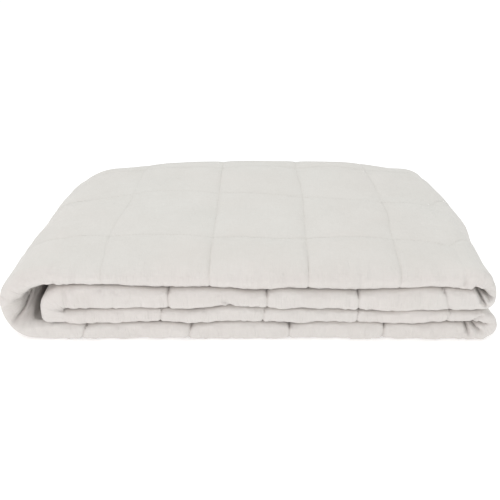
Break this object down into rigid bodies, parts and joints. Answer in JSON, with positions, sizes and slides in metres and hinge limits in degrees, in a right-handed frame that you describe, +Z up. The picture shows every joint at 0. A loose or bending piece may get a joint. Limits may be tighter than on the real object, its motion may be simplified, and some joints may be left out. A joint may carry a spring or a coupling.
{
  "type": "folded weighted blanket",
  "caption": "Quilted weighted blanket folded into a flat stack: padded squares, smooth rounded front folds, and one side wrapped round the layers within.",
  "frame": {"origin": "middle of the rectangle round the folded blanket, on the surface that it rests on", "axes": "+X along the stack's long side, from the wrapped side to the side with the folds; -Y towards the smooth front fold; +Z up"},
  "size_m": [0.511, 0.3059, 0.0914],
  "materials": {
    "off_white_cotton": "matte, fine plain weave"
  },
  "bodies": {
    "root": {"quilted_blanket": "off_white_cotton"}
  },
  "joints": []
}
